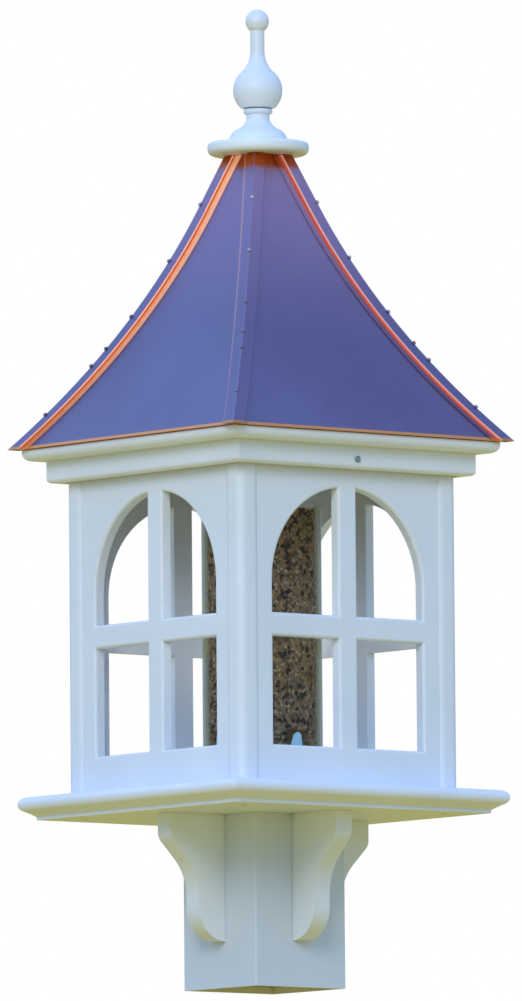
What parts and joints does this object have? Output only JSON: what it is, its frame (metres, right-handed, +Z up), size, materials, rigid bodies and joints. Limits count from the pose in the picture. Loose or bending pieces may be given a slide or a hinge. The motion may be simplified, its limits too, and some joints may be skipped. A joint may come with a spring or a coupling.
{
  "type": "post-mounted bird feeder",
  "caption": "Square gazebo bird feeder for a post: arched window walls round a clear seed tube, under a lift-off curved copper roof with a turned finial.",
  "frame": {"origin": "middle of the bottom end of the post sleeve, on the plane it stands on", "axes": "+Z up along the post; -Y is the front, the side with the roof's retaining screw; the back has one too"},
  "size_m": [0.3976, 0.3976, 1.0835],
  "materials": {
    "white_pvc": "white cellular PVC board, satin, taking the blue of the sky in shade",
    "roof_copper": null,
    "solder": "bright domed nail heads, soldered over",
    "framing_wood": "planed softwood framing, hidden in use",
    "steel": "stainless steel fixings",
    "clear_acrylic": "clear acrylic tube, slightly green grey at its edges",
    "cone_plastic": "white moulded plastic",
    "bird_seed": null
  },
  "bodies": {
    "house": {"post_sleeve": "white_pvc", "mounting_block": "framing_wood", "lower_post_collar": "framing_wood", "upper_post_collar": "framing_wood", "bracket_front": "white_pvc", "bracket_right": "white_pvc", "bracket_back": "white_pvc", "bracket_left": "white_pvc", "bracket_screws": "steel", "base_platform": "white_pvc", "block_screws": "steel", "base_screws": "steel", "floor_board": "white_pvc", "corner_post_front_right": "white_pvc", "corner_post_back_right": "white_pvc", "corner_post_back_left": "white_pvc", "corner_post_front_left": "white_pvc", "wall_panel_front": "white_pvc", "wall_panel_right": "white_pvc", "wall_panel_back": "white_pvc", "wall_panel_left": "white_pvc", "seed_cone": "cone_plastic", "cone_screw": "steel"},
    "seed_tube": {"seed_tube": "clear_acrylic", "seed_fill": "bird_seed"},
    "roof": {"frieze_front": "white_pvc", "frieze_right": "white_pvc", "frieze_back": "white_pvc", "frieze_left": "white_pvc", "cornice_front": "white_pvc", "cornice_right": "white_pvc", "cornice_back": "white_pvc", "cornice_left": "white_pvc", "frieze_screws": "steel", "roof_panel_front": "roof_copper", "roof_panel_right": "roof_copper", "roof_panel_back": "roof_copper", "roof_panel_left": "roof_copper", "hip_cap_front_right": "roof_copper", "hip_cap_back_right": "roof_copper", "hip_cap_back_left": "roof_copper", "hip_cap_front_left": "roof_copper", "hip_rafter_front_right": "framing_wood", "hip_rafter_back_right": "framing_wood", "hip_rafter_back_left": "framing_wood", "hip_rafter_front_left": "framing_wood", "apex_block": "framing_wood", "hip_nails": "solder", "finial_disc": "white_pvc", "finial_rod": "steel"},
    "finial": {"finial": "white_pvc"},
    "retaining_screw_front": {"retaining_screw_front": "steel"},
    "retaining_screw_back": {"retaining_screw_back": "steel"}
  },
  "joints": [
    {"name": "roof_lift", "type": "slide", "parent": "house", "child": "roof", "axis": [0, 0, 1], "range_m": [0, 0.2]},
    {"name": "tube_lift", "type": "slide", "parent": "house", "child": "seed_tube", "axis": [0, 0, 1], "range_m": [0, 0.06]},
    {"name": "finial_turn", "type": "hinge", "parent": "roof", "child": "finial", "pos_m": [0, 0, 1], "axis": [0, 0, 1], "continuous": true},
    {"name": "front_screw_slide", "type": "slide", "parent": "roof", "child": "retaining_screw_front", "axis": [0, -1, 0], "range_m": [0, 0.02]},
    {"name": "back_screw_slide", "type": "slide", "parent": "roof", "child": "retaining_screw_back", "axis": [0, 1, 0], "range_m": [0, 0.02]}
  ]
}
